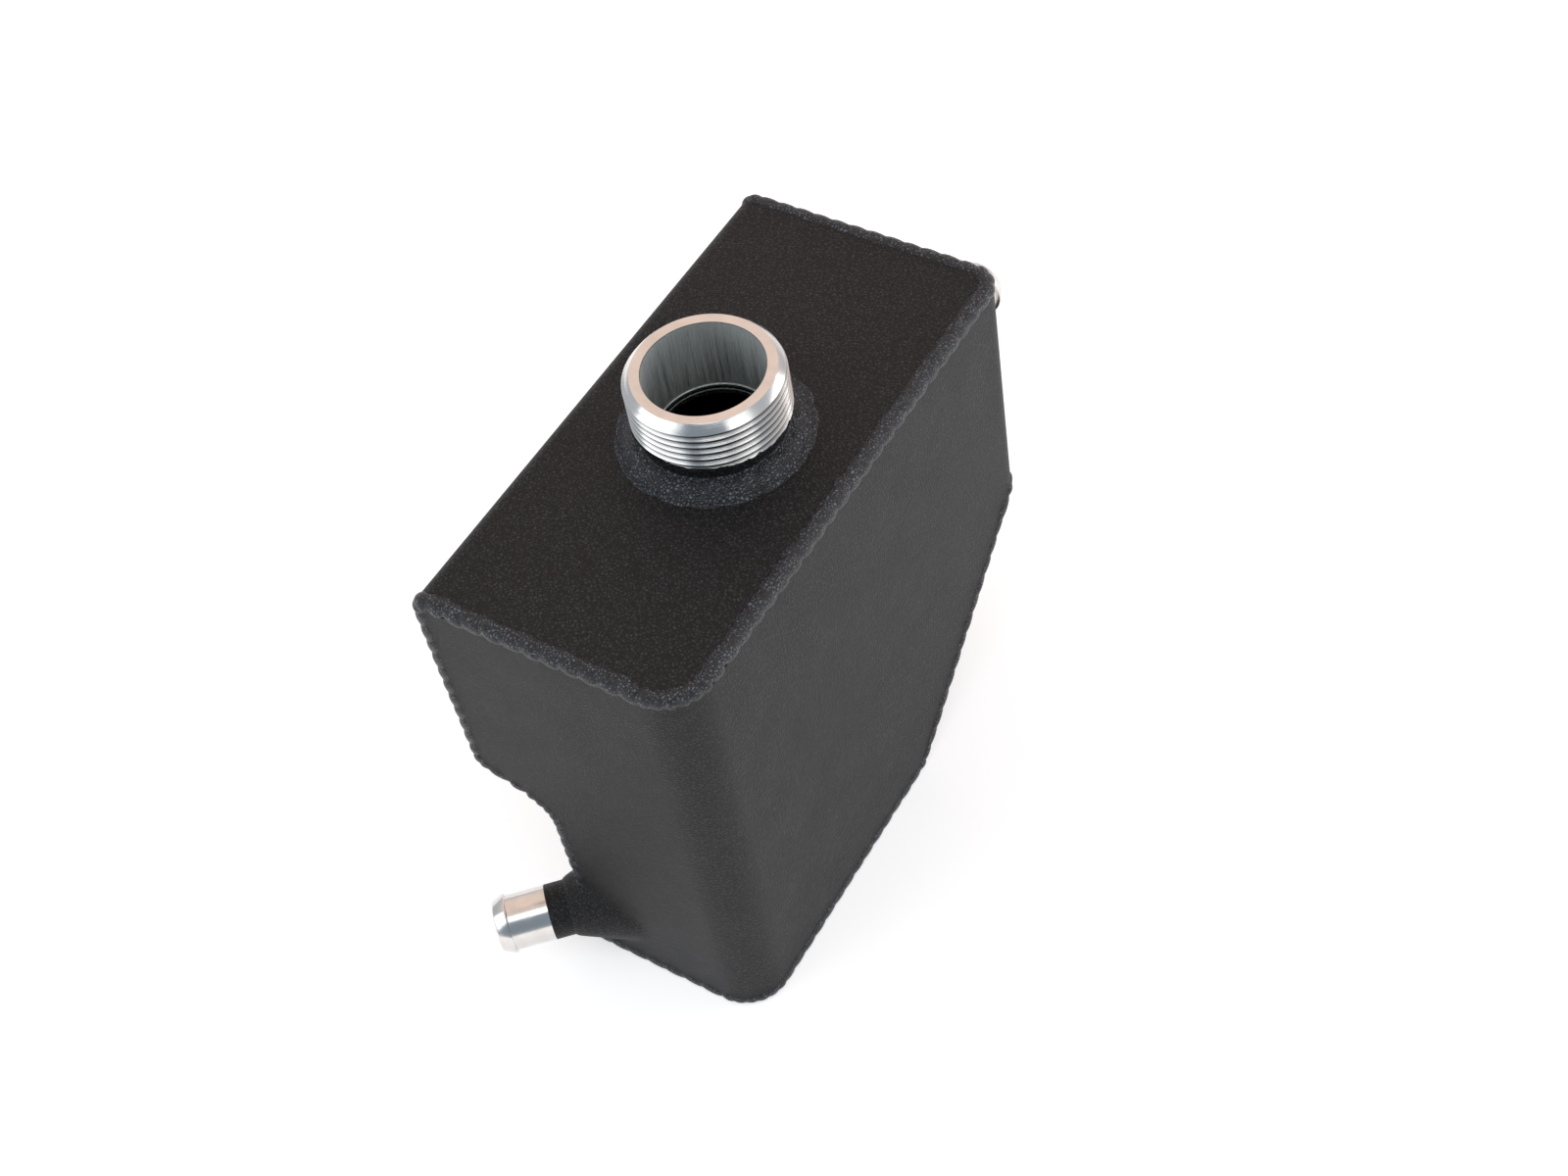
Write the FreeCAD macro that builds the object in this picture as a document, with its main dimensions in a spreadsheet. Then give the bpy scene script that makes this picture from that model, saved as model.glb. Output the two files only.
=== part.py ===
import FreeCAD, Part
import math
import os

import Sketcher
from FreeCAD import Placement, Rotation, Vector

# Welded aluminium coolant tank. X runs across it, Y to the rear, Z up.
# The origin is on the filler neck's axis, in the plane of the flat underside.
# Lengths are millimetres and angles are degrees.

SIZES = {
    # outside faces of the folded body
    "body_width": 96.8,
    "body_height": 179.3,
    "front_reach": 94.8,
    "rear_reach": 96.3,
    "rear_lean": 2.3,
    "sheet_thickness": 3.2,
    # outside radii of the bends
    "front_bend": 15.5,
    "rear_bend": 9.5,
    "top_bend": 6.0,
    "shelf_bend": 7.0,
    "hollow_bend": 13.0,
    "floor_bend": 7.0,
    # the step in the left side
    "shelf_drop": 87.0,
    "shelf_slope": 21.4,
    "lower_wall_inset": 26.7,
    # the ramp at the rear of the bottom
    "ramp_drop": 11.7,
    "ramp_angle": 45.0,
    # filler neck
    "neck_bore": 38.1,
    "neck_height": 27.0,
    "thread_diameter": 50.0,
    "thread_length": 15.7,
    "rim_chamfer_width": 1.1,
    "rim_chamfer_height": 1.7,
    "neck_waist": 47.0,
    "rim_break": 0.4,
    "filler_hole": 36.4,
    "neck_weld_width": 7.5,
    "neck_weld_height": 5.4,
    # hose barbs, both of one pattern
    "barb_tube": 19.05,
    "barb_wall": 2.0,
    "barb_ridge": 0.9,
    "barb_lead": 4.7,
    "barb_taper": 1.8,
    "barb_weld_rise": 3.4,
    "barb_weld_run": 4.5,
    "corner_weld_spread": 5.0,
    "front_barb_height": 22.5,
    "front_barb_angle": 45.0,
    "front_barb_reach": 30.0,
    "front_barb_inside": 17.0,
    "rear_barb_margin": 24.4,
    "rear_barb_height": 142.3,
    "rear_barb_reach": 24.5,
    "rear_barb_inside": 8.0,
    # weld beads in the open corners of the sheets
    "bead_radius": 3.3,
    "bead_depth": 2.4,
    "bead_ripple": 0.5,
    "bead_pitch": 7.0,
}

doc = FreeCAD.newDocument("coolant_tank")
sheet = doc.addObject("Spreadsheet::Sheet", "Sizes")
for row, (alias, size) in enumerate(SIZES.items(), 1):
    sheet.set(f"B{row}", str(size))
    sheet.setAlias(f"B{row}", alias)
doc.recompute()


class Size:
    """A measure as a number, with the expression that ties it to the sheet."""

    def __init__(self, number, text):
        self.number = number
        self.text = text

    def combined(self, other, sign, number):
        return Size(number, f"({self.text} {sign} {other.text})")

    def __add__(self, other):
        other = as_size(other)
        return self.combined(other, "+", self.number + other.number)

    def __sub__(self, other):
        other = as_size(other)
        return self.combined(other, "-", self.number - other.number)

    def __mul__(self, other):
        other = as_size(other)
        return self.combined(other, "*", self.number * other.number)

    def __truediv__(self, other):
        other = as_size(other)
        return self.combined(other, "/", self.number / other.number)

    def __neg__(self):
        return Size(-self.number, f"(-1 * {self.text})")


def as_size(item):
    return item if isinstance(item, Size) else Size(float(item), f"({float(item)})")


def cell(alias):
    return Size(float(sheet.get(alias)), f"Sizes.{alias}")


def sine(angle):
    return Size(math.sin(math.radians(angle.number)), f"sin({angle.text})")


def cosine(angle):
    return Size(math.cos(math.radians(angle.number)), f"cos({angle.text})")


def slope_of(angle):
    return Size(math.tan(math.radians(angle.number)), f"tan({angle.text})")


# Faces and edges that several pieces share

thickness = cell("sheet_thickness")
top_face = cell("body_height")
right_face = cell("body_width") / 2
left_face = -right_face
lower_face = left_face + cell("lower_wall_inset")
front_face = -cell("front_reach")
shelf_edge = top_face - cell("shelf_drop")
lean_rate = slope_of(cell("rear_lean"))
shelf_rate = slope_of(cell("shelf_slope"))
ramp_rate = slope_of(cell("ramp_angle"))

NOTHING = as_size(0)
OUTSIDE = cell("body_height") + cell("front_reach")


def shelf_height(across, inset):
    """Height of the shelf sheet at a place across, inset from its outside face."""
    drop = (across - left_face) * shelf_rate
    return shelf_edge + inset / cosine(cell("shelf_slope")) - drop


def rear_place(height, inset):
    """How far back the leaning rear wall is at a height, inset from its outside face."""
    drift = (top_face - height) * lean_rate
    return cell("rear_reach") + drift - inset / cosine(cell("rear_lean"))


# The ramp meets the rear wall a little below the shelf, and runs down from there
ramp_top = shelf_edge - cell("ramp_drop")
floor_reach = rear_place(ramp_top, NOTHING) - ramp_top / ramp_rate


def ramp_foot(inset):
    """Where the flat bottom would meet the ramp, inset from their outside faces."""
    back = (inset / cosine(cell("ramp_angle")) - inset) / ramp_rate
    return floor_reach - back


def ramp_head(inset, wall_inset):
    """The point where the ramp meets the rear wall, each inset from its outside face."""
    lift = inset / cosine(cell("ramp_angle"))
    wall_at_floor = rear_place(NOTHING, wall_inset)
    rates = lean_rate * ramp_rate
    back = wall_at_floor + rates * floor_reach - lean_rate * lift
    back = back / (rates + 1)
    return back, (back - floor_reach) * ramp_rate + lift


# Sketches

def origin_plane(body, role):
    return next(plane for plane in body.Origin.OriginFeatures if plane.Role == role)


def bend_points(corners, index):
    """Where the bend at a corner starts and ends, its centre and whether it turns left."""
    here = Vector(corners[index][0].number, corners[index][1].number, 0)
    before = corners[index - 1]
    after = corners[(index + 1) % len(corners)]
    radius = corners[index][2].number
    incoming = (Vector(before[0].number, before[1].number, 0) - here).normalize()
    outgoing = (Vector(after[0].number, after[1].number, 0) - here).normalize()
    half = incoming.getAngle(outgoing) / 2
    run = radius / math.tan(half)
    centre = here + (incoming + outgoing).normalize() * (radius / math.sin(half))
    turns_left = incoming.cross(outgoing).z < 0
    return here + incoming * run, here + outgoing * run, centre, turns_left


def outline(body, name, role, corners, lift=None):
    """Draw a closed outline through (across, up, radius) corners on an origin plane.

    A corner with a radius becomes a tangent arc, and its sharp corner stays as a
    construction point that the two sides run through.
    """
    sketch = body.newObject("Sketcher::SketchObject", name)
    sketch.AttachmentSupport = (origin_plane(body, role), [""])
    sketch.MapMode = "FlatFace"
    if lift is not None:
        sketch.AttachmentOffset = Placement(Vector(0, 0, lift.number), Rotation())
        sketch.setExpression("AttachmentOffset.Base.z", lift.text)
    corners = [corner if len(corner) == 3 else (*corner, None) for corner in corners]
    count = len(corners)
    sharp = [Vector(corner[0].number, corner[1].number, 0) for corner in corners]
    bends = [bend_points(corners, i) if corners[i][2] else None for i in range(count)]
    for i in range(count):
        following = (i + 1) % count
        start = bends[i][1] if bends[i] else sharp[i]
        end = bends[following][0] if bends[following] else sharp[following]
        sketch.addGeometry(Part.LineSegment(start, end), False)
    for i, corner in enumerate(corners):
        arriving = (i - 1) % count
        if bends[i] is None:
            sketch.addConstraint(Sketcher.Constraint("Coincident", arriving, 2, i, 1))
            place(sketch, i, 1, corner)
            continue
        start, end, centre, turns_left = bends[i]
        first, last = (start, end) if turns_left else (end, start)
        circle = Part.Circle(centre, Vector(0, 0, 1), corner[2].number)
        arc = Part.ArcOfCircle(circle, circle.parameter(first), circle.parameter(last))
        bend = sketch.addGeometry(arc, False)
        arc_in, arc_out = (1, 2) if turns_left else (2, 1)
        sketch.addConstraint(Sketcher.Constraint("Tangent", arriving, 2, bend, arc_in))
        sketch.addConstraint(Sketcher.Constraint("Tangent", bend, arc_out, i, 1))
        added = sketch.addConstraint(Sketcher.Constraint("Radius", bend, corner[2].number))
        sketch.setExpression(f"Constraints[{added}]", corner[2].text)
        point = sketch.addGeometry(Part.Point(sharp[i]), True)
        sketch.addConstraint(Sketcher.Constraint("PointOnObject", point, 1, arriving))
        sketch.addConstraint(Sketcher.Constraint("PointOnObject", point, 1, i))
        place(sketch, point, 1, corner)
    return sketch


def place(sketch, element, end, corner):
    """Tie one point of a sketch to its distances from the sketch's origin."""
    for kind, size in (("DistanceX", corner[0]), ("DistanceY", corner[1])):
        limit = Sketcher.Constraint(kind, -1, 1, element, end, size.number)
        added = sketch.addConstraint(limit)
        sketch.setExpression(f"Constraints[{added}]", size.text)


# Features

def new_body(label):
    body = doc.addObject("PartDesign::Body", label)
    body.Label = label
    return body


def pad_along(body, name, sketch, length, backwards=False):
    pad = body.newObject("PartDesign::Pad", name)
    pad.Profile = sketch
    pad.Reversed = backwards
    pad.setExpression("Length", length.text)
    return pad


def cut_through(body, name, sketch):
    pocket = body.newObject("PartDesign::Pocket", name)
    pocket.Profile = sketch
    pocket.SideType = "Symmetric"
    pocket.Type = "ThroughAll"
    return pocket


def turned(body, name, corners):
    """Turn a closed (radius, height) outline about the body's Z axis."""
    sketch = outline(body, f"{name}_outline", "XZ_Plane", corners)
    solid = body.newObject("PartDesign::Revolution", name)
    solid.Profile = sketch
    solid.ReferenceAxis = (sketch, ["V_Axis"])
    solid.Angle = 360
    return solid


def drill(body, name, radius, depth, spot, direction):
    """Drill a round hole of a depth from a spot along a direction."""
    hole = body.newObject("PartDesign::SubtractiveCylinder", name)
    hole.AttachmentSupport = (origin_plane(body, "XY_Plane"), [""])
    hole.MapMode = "FlatFace"
    hole.setExpression("Radius", radius.text)
    hole.setExpression("Height", depth.text)
    set_down(hole, "AttachmentOffset", spot, direction)
    return hole


def set_down(item, placing, spot, direction):
    """Give an object its place: its Z axis along a direction, its origin at a spot."""
    turn = Rotation(Vector(0, 0, 1), direction)
    setattr(item, placing, Placement(Vector(*[size.number for size in spot]), turn))
    for letter, size in zip("xyz", spot):
        item.setExpression(f"{placing}.Base.{letter}", size.text)


def nearest(items, spot):
    """Number of the edge or face whose middle lies nearest to a spot."""
    place_there = Vector(*[size.number for size in spot])
    distances = [(item.CenterOfMass - place_there).Length for item in items]
    return distances.index(min(distances)) + 1


def round_edge(body, name, spot, radius):
    """Round the edge of the body so far whose middle lies nearest to a spot."""
    doc.recompute()
    base = body.Tip
    fillet = body.newObject("PartDesign::Fillet", name)
    fillet.Base = (base, [f"Edge{nearest(base.Shape.Edges, spot)}"])
    fillet.setExpression("Radius", radius.text)
    return fillet


def leave_sheet(body, name, open_spots):
    """Hollow the body so far to a sheet of one thickness, open at the faces near the spots."""
    doc.recompute()
    base = body.Tip
    hollow = body.newObject("PartDesign::Thickness", name)
    hollow.Base = (base, [f"Face{nearest(base.Shape.Faces, spot)}" for spot in open_spots])
    hollow.setExpression("Value", thickness.text)
    hollow.Reversed = True
    return hollow


# The folded sheets

def shell_line(inset, low_end):
    """The folded line of top, left wall, shelf and lower wall, from right to bottom."""
    left = left_face + inset
    lower = lower_face + inset
    return [
        (right_face - thickness, top_face - inset),
        (left, top_face - inset, cell("top_bend") - inset),
        (left, shelf_height(left, inset), cell("shelf_bend") - inset),
        (lower, shelf_height(lower, inset), cell("hollow_bend") + inset),
        (lower, low_end),
    ]


def cut_left_step(body):
    """Take away what lies outside the inner face of the folded left side."""
    inner = shell_line(thickness, -OUTSIDE)
    beyond = [(-OUTSIDE, -OUTSIDE), (-OUTSIDE, OUTSIDE), (inner[0][0], OUTSIDE)]
    cut_through(body, "left_step", outline(body, "left_step_outline", "XZ_Plane", inner + beyond))


def floor_outline(body, name, inset, level):
    """Draw the folded line of bottom and ramp, closed at a level above or below it."""
    lift = inset / cosine(cell("ramp_angle"))
    return outline(body, name, "YZ_Plane", [
        (-OUTSIDE, inset),
        (ramp_foot(inset), inset, cell("floor_bend") - inset),
        (OUTSIDE, (OUTSIDE - floor_reach) * ramp_rate + lift),
        (OUTSIDE, level),
        (-OUTSIDE, level),
    ])


def cut_at_floor(body, name, inset, level):
    """Take away what lies between a level and the folded line of bottom and ramp."""
    cut_through(body, name, floor_outline(body, f"{name}_outline", inset, level))


def cut_behind_rear(body, inset):
    """Take away what lies behind the leaning rear wall, inset from its outside."""
    cut_through(body, "behind_rear", outline(body, "behind_rear_outline", "YZ_Plane", [
        (rear_place(-OUTSIDE, inset), -OUTSIDE),
        (OUTSIDE, -OUTSIDE),
        (OUTSIDE, OUTSIDE),
        (rear_place(OUTSIDE, inset), OUTSIDE),
    ]))


def wall_block(body, inset):
    """Fill the space between the walls, inset from their outside, from under the floor up."""
    front = front_face + inset
    right = right_face - inset
    plan = outline(body, "plan", "XY_Plane", [
        (inner_left, front),
        (right, front, cell("front_bend") - inset),
        (right, OUTSIDE),
        (inner_left, OUTSIDE),
    ], low_level)
    pad_along(body, "block", plan, high_level - low_level)
    cut_behind_rear(body, inset)
    middle = (low_level + high_level) / 2
    corner = (right, rear_place(middle, inset), middle)
    round_edge(body, "rear_bend", corner, cell("rear_bend") - inset)


low_level = -thickness
high_level = top_face - thickness
inner_left = left_face + thickness
inner_lower = lower_face + thickness
inner_right = right_face - thickness
inner_front = front_face + thickness

# Front, right and rear walls, folded from one sheet
side_wrap = new_body("side_wrap")
wall_block(side_wrap, NOTHING)
leave_sheet(side_wrap, "folded_sheet", [
    (inner_left, NOTHING, (low_level + high_level) / 2),
    (NOTHING, NOTHING, low_level),
    (NOTHING, NOTHING, high_level),
])
cut_left_step(side_wrap)
cut_at_floor(side_wrap, "below_floor", thickness, -OUTSIDE)

# Top, left wall, shelf and lower left wall, folded from one sheet
top_left_shell = new_body("top_left_shell")
profile = outline(
    top_left_shell,
    "folded_profile",
    "XZ_Plane",
    shell_line(NOTHING, low_level) + shell_line(thickness, low_level)[::-1],
    -inner_front,
)
depth = rear_place(NOTHING, NOTHING) - inner_front
pad_along(top_left_shell, "folded_sheet", profile, depth, backwards=True)
cut_at_floor(top_left_shell, "below_floor", thickness, -OUTSIDE)
cut_behind_rear(top_left_shell, thickness)
mid_sheet = top_face - thickness / 2
round_edge(
    top_left_shell, "front_corner", (inner_right, inner_front, mid_sheet),
    cell("front_bend") - thickness,
)
round_edge(
    top_left_shell, "rear_corner", (inner_right, rear_place(mid_sheet, thickness), mid_sheet),
    cell("rear_bend") - thickness,
)
drill(
    top_left_shell, "filler_opening", cell("filler_hole") / 2, thickness * 2,
    (NOTHING, NOTHING, high_level - thickness / 2), Vector(0, 0, 1),
)

# Flat bottom and rear ramp, folded from one sheet and fitted between the walls
bottom_plate = new_body("bottom_plate")
wall_block(bottom_plate, thickness)
cut_left_step(bottom_plate)
cut_at_floor(bottom_plate, "above_sheet", thickness, OUTSIDE * 2)
cut_at_floor(bottom_plate, "below_sheet", NOTHING, -OUTSIDE)

# The room inside the sheets, which the welds stay out of
coolant_space = new_body("coolant_space")
wall_block(coolant_space, thickness)
cut_left_step(coolant_space)
cut_at_floor(coolant_space, "below_floor", thickness, -OUTSIDE)


# Turned fittings

def barb_outline(length):
    """Half section of a hose barb: a tube with one ridge and a tapered lead-in."""
    bore = cell("barb_tube") / 2 - cell("barb_wall")
    tube = cell("barb_tube") / 2
    ridge = tube + cell("barb_ridge")
    shoulder = length - cell("barb_lead")
    return [
        (bore, NOTHING),
        (tube, NOTHING),
        (tube, shoulder),
        (ridge, shoulder),
        (ridge - cell("barb_taper"), length),
        (bore, length),
    ]


def barb_weld_outline(seat, spread):
    """Half section of a barb's fillet weld, wide enough below its seat to meet the walls."""
    tube = cell("barb_tube") / 2
    rise = tube + cell("barb_weld_rise")
    return [
        (tube, NOTHING),
        (rise + spread, NOTHING),
        (rise, seat),
        (tube, seat + cell("barb_weld_run")),
    ]


# Filler neck, standing on the top face round its hole
filler_neck = new_body("filler_neck")
bore = cell("neck_bore") / 2
thread = cell("thread_diameter") / 2
waist = cell("neck_waist") / 2
rim = cell("neck_height")
thread_top = rim - cell("rim_chamfer_height")
thread_end = thread_top - cell("thread_length")
turned(filler_neck, "neck", [
    (bore, NOTHING),
    (waist, NOTHING),
    (waist, thread_end - (thread - waist)),
    (thread, thread_end),
    (thread, thread_top),
    (thread - cell("rim_chamfer_width"), rim),
    (bore + cell("rim_break"), rim),
    (bore, rim - cell("rim_break")),
])
set_down(filler_neck, "Placement", (NOTHING, NOTHING, top_face), Vector(0, 0, 1))

filler_neck_weld = new_body("filler_neck_weld")
turned(filler_neck_weld, "fillet", [
    (waist, NOTHING),
    (waist + cell("neck_weld_width"), NOTHING),
    (waist, cell("neck_weld_height")),
])
set_down(filler_neck_weld, "Placement", (NOTHING, NOTHING, top_face), Vector(0, 0, 1))

# Both hose barbs: where the inner end lies, which way it points, how deep it goes in
barb_turn = cell("front_barb_angle")
front_inside = cell("front_barb_inside")
rear_inside = cell("rear_barb_inside")
BARBS = {
    "front": (
        (
            lower_face + cosine(barb_turn) * front_inside,
            front_face + sine(barb_turn) * front_inside,
            cell("front_barb_height"),
        ),
        Vector(-cosine(barb_turn).number, -sine(barb_turn).number, 0),
        front_inside,
        cell("front_barb_reach"),
        cell("corner_weld_spread"),
    ),
    "rear": (
        (
            right_face - cell("rear_barb_margin"),
            rear_place(cell("rear_barb_height"), NOTHING) - rear_inside,
            cell("rear_barb_height"),
        ),
        Vector(0, 1, 0),
        rear_inside,
        cell("rear_barb_reach"),
        NOTHING,
    ),
}
fittings = [filler_neck, filler_neck_weld]
weld_blanks = {}
for end, (spot, direction, inside, reach, spread) in BARBS.items():
    barb = new_body(f"{end}_hose_barb")
    turned(barb, "barb", barb_outline(inside + reach))
    set_down(barb, "Placement", spot, direction)
    fittings.append(barb)
    blank = new_body(f"{end}_barb_weld_blank")
    turned(blank, "fillet", barb_weld_outline(inside, spread))
    set_down(blank, "Placement", spot, direction)
    weld_blanks[end] = blank
    pierced = (side_wrap, top_left_shell) if end == "front" else (side_wrap,)
    for body in pierced:
        drill(body, f"{end}_barb_hole", cell("barb_tube") / 2, inside + reach, spot, direction)

# Everything inside the outer faces except the open corners, which the welds fill
tank_block = doc.addObject("Part::MultiFuse", "tank_block")
tank_block.Shapes = [side_wrap, top_left_shell, bottom_plate, coolant_space]

# The same with all the space under it, where the welds are dressed flush
space_below = new_body("space_below")
under_floor = floor_outline(space_below, "under_floor", NOTHING, -OUTSIDE)
pad_along(space_below, "under", under_floor, OUTSIDE * 2).SideType = "Symmetric"
standing_block = doc.addObject("Part::MultiFuse", "standing_block")
standing_block.Shapes = [tank_block, space_below]


# Weld beads

RING_SIDES = 12
STEPS_IN_BEND = 2

blanks = {}
welds = {}


def lay(label, blank, ground, neighbours=()):
    """Cut a weld clear of the blanks of the welds beside it, then of what it is laid on."""
    blanks[label] = blank
    for name in neighbours:
        shortened = doc.addObject("Part::Cut", f"{label}_up_to_{name}")
        shortened.Base = blank
        shortened.Tool = blanks[name]
        shortened.Refine = False
        blank = shortened
    weld = doc.addObject("Part::Cut", label)
    weld.Base = blank
    weld.Tool = ground
    weld.Refine = False
    welds[label] = weld


def seam_edges(corners):
    """Lines and tangent arcs through 3-D corners, each with the radius of its bend."""
    edges = []
    start = corners[0][0]
    for index in range(1, len(corners) - 1):
        here, radius = corners[index]
        incoming = (corners[index - 1][0] - here).normalize()
        outgoing = (corners[index + 1][0] - here).normalize()
        half = incoming.getAngle(outgoing) / 2
        run = radius / math.tan(half)
        middle = (incoming + outgoing).normalize() * (radius / math.sin(half) - radius)
        first, last = here + incoming * run, here + outgoing * run
        edges.append(Part.makeLine(start, first))
        edges.append(Part.Arc(first, here + middle, last).toShape())
        start = last
    edges.append(Part.makeLine(start, corners[-1][0]))
    return edges


def ring(edge, station, radius, across):
    """Corners of a flat-sided ring round a seam, turned as little as can be from the last."""
    forward = edge.tangentAt(station)
    across = (across - forward * across.dot(forward)).normalize()
    upward = forward.cross(across)
    turns = [2 * math.pi * k / RING_SIDES for k in range(RING_SIDES)]
    corners = [
        edge.valueAt(station) + (across * math.cos(turn) + upward * math.sin(turn)) * radius
        for turn in turns
    ]
    return corners, across


def bead_rings(edges):
    """Rings along tangent edges: each scale widens from root to crest, then steps in."""
    crest = cell("bead_radius").number
    root = crest - cell("bead_ripple").number
    across = edges[0].tangentAt(edges[0].FirstParameter).cross(Vector(1, 1, 1))
    rings = []
    for edge in edges:
        scales = max(1, round(edge.Length / cell("bead_pitch").number))
        steps = 1 if edge.Curve.TypeId == "Part::GeomLine" else STEPS_IN_BEND
        first, last = edge.ParameterRange
        for scale in range(scales):
            for step in range(steps + 1):
                along = first + (last - first) * (scale + step / steps) / scales
                radius = root + (crest - root) * step / steps
                corners, across = ring(edge, along, radius, across)
                rings.append(corners)
    return rings


def flat_face(*corners):
    return Part.Face(Part.makePolygon([*corners, corners[0]]))


def bead(edges):
    """A solid of flat faces through the rings of a run."""
    rings = bead_rings(edges)
    faces = [flat_face(*rings[0]), flat_face(*rings[-1])]
    for near, far in zip(rings, rings[1:]):
        for k in range(RING_SIDES):
            following = (k + 1) % RING_SIDES
            faces.append(flat_face(near[k], near[following], far[following]))
            faces.append(flat_face(near[k], far[following], far[k]))
    return Part.makeSolid(Part.makeShell(faces))


def lay_bead(label, runs, ground, neighbours=()):
    """Lay a rippled bead along one or more runs of a seam."""
    beads = [bead(edges) for edges in runs]
    rod = doc.addObject("Part::Feature", f"{label}_rod")
    rod.Shape = beads[0].multiFuse(beads[1:]) if beads[1:] else beads[0]
    lay(label, rod, ground, neighbours)


def down_to(edges, level):
    """The edges of a falling seam as far down as a level."""
    kept = []
    for edge in edges:
        first, last = edge.ParameterRange
        if edge.valueAt(last).z < level:
            above, below = first, last
            while below - above > 1e-6:
                middle = (above + below) / 2
                if edge.valueAt(middle).z < level:
                    below = middle
                else:
                    above = middle
            kept.append(edge.Curve.toShape(first, above))
            break
        kept.append(edge)
    return kept


def seam_corner(across, back, up, radius=None):
    point = Vector(*[as_size(size).number for size in (across, back, up)])
    return point, radius.number if radius else 0


buried = cell("bead_depth")
left_seam = left_face + buried
lower_seam = lower_face + buried
right_seam = right_face - buried
front_seam = front_face + buried
top_seam = top_face - buried
shelf_seam = shelf_height(left_seam, buried)
hollow_seam = shelf_height(lower_seam, buried)
head_seam, head_height = ramp_head(buried, buried)
barb_height = cell("front_barb_height")
tube = cell("barb_tube") / 2


def rear_seam(height):
    return rear_place(height, buried)


shell_seam = seam_edges([
    seam_corner(lower_seam, front_seam, barb_height + tube),
    seam_corner(lower_seam, front_seam, hollow_seam, cell("hollow_bend") + buried),
    seam_corner(left_seam, front_seam, shelf_seam, cell("shelf_bend") - buried),
    seam_corner(left_seam, front_seam, top_seam, cell("top_bend") - buried),
    seam_corner(right_seam, front_seam, top_seam, cell("front_bend") - buried),
    seam_corner(right_seam, rear_seam(top_seam), top_seam, cell("rear_bend") - buried),
    seam_corner(left_seam, rear_seam(top_seam), top_seam, cell("top_bend") - buried),
    seam_corner(left_seam, rear_seam(shelf_seam), shelf_seam, cell("shelf_bend") - buried),
    seam_corner(lower_seam, rear_seam(hollow_seam), hollow_seam, cell("hollow_bend") + buried),
    seam_corner(lower_seam, rear_seam(NOTHING), NOTHING),
])
foot_seam = ramp_foot(buried)
stretch_on_ramp = (as_size(1) + as_size(1) / cosine(cell("ramp_angle"))) / 2
bend_on_ramp = (cell("rear_bend") - buried) * stretch_on_ramp
floor_seam = seam_edges([
    seam_corner(lower_seam, front_seam, buried),
    seam_corner(right_seam, front_seam, buried, cell("front_bend") - buried),
    seam_corner(right_seam, foot_seam, buried, cell("floor_bend") - buried),
    seam_corner(right_seam, head_seam, head_height, bend_on_ramp),
    seam_corner(inner_lower, head_seam, head_height),
])
lower_left_seam = seam_edges([
    seam_corner(lower_seam, front_seam, buried),
    seam_corner(lower_seam, foot_seam, buried, cell("floor_bend") - buried),
    seam_corner(lower_seam, head_seam, head_height),
])
below_barb = Part.makeLine(
    seam_corner(lower_seam, front_seam, barb_height - tube)[0],
    seam_corner(lower_seam, front_seam, NOTHING)[0],
)

for end, blank in weld_blanks.items():
    lay(f"{end}_barb_weld", blank, tank_block)
lay_bead("front_lower_weld", [shell_seam[0:1]], tank_block, ["front_barb_weld"])
lay_bead("front_shelf_weld", [shell_seam[1:4]], tank_block)
lay_bead("front_left_weld", [shell_seam[4:5]], tank_block)
lay_bead("top_front_weld", [shell_seam[5:7]], tank_block)
lay_bead("top_right_weld", [shell_seam[7:10]], tank_block)
lay_bead("top_rear_weld", [shell_seam[10:12]], tank_block)
lay_bead("rear_left_weld", [shell_seam[12:13]], tank_block)
lay_bead("ramp_right_weld", [floor_seam[4:5]], tank_block)
lay_bead("ramp_left_weld", [lower_left_seam[2:]], tank_block)
lay_bead("ramp_rear_weld", [floor_seam[5:]], tank_block, ["ramp_left_weld"])
rear_shelf_seam = down_to(shell_seam[13:], head_height.number)
lay_bead("rear_shelf_weld", [rear_shelf_seam], tank_block, ["ramp_rear_weld", "ramp_left_weld"])
lay_bead("bottom_front_weld", [[below_barb], floor_seam[0:1]], standing_block, ["front_barb_weld"])
lay_bead("bottom_right_weld", [floor_seam[1:4]], standing_block)
lay_bead("bottom_left_weld", [lower_left_seam[0:2]], standing_block, ["bottom_front_weld"])
doc.recompute()

pieces = [side_wrap, top_left_shell, bottom_plate] + fittings + list(welds.values())
for item in doc.Objects:
    if {"Invalid", "Error"} & set(item.State):
        raise RuntimeError(f"{item.Label} did not compute: {item.State}")
for piece in pieces:
    if piece.Shape.isNull() or not piece.Shape.isValid():
        raise RuntimeError(f"{piece.Label} has no valid shape")

os.makedirs("parts", exist_ok=True)
for piece in pieces:
    piece.Shape.exportStep(f"parts/{piece.Label}.step")
    box = piece.Shape.optimalBoundingBox()
    print(
        f"{piece.Label:20} {len(piece.Shape.Solids)} solid {piece.Shape.Volume:10.1f} mm3"
        f"  x {box.XMin:7.2f} {box.XMax:7.2f}  y {box.YMin:7.2f} {box.YMax:7.2f}"
        f"  z {box.ZMin:7.2f} {box.ZMax:7.2f}"
    )
print(f"room inside {coolant_space.Shape.Volume / 1e6:.3f} litres")
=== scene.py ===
"""Welded aluminium coolant tank in black wrinkle coat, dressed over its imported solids."""

import math
import random

import bpy
from bpy.props import FloatProperty, FloatVectorProperty, IntProperty, PointerProperty
from mathutils import Euler, Matrix, Vector


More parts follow.
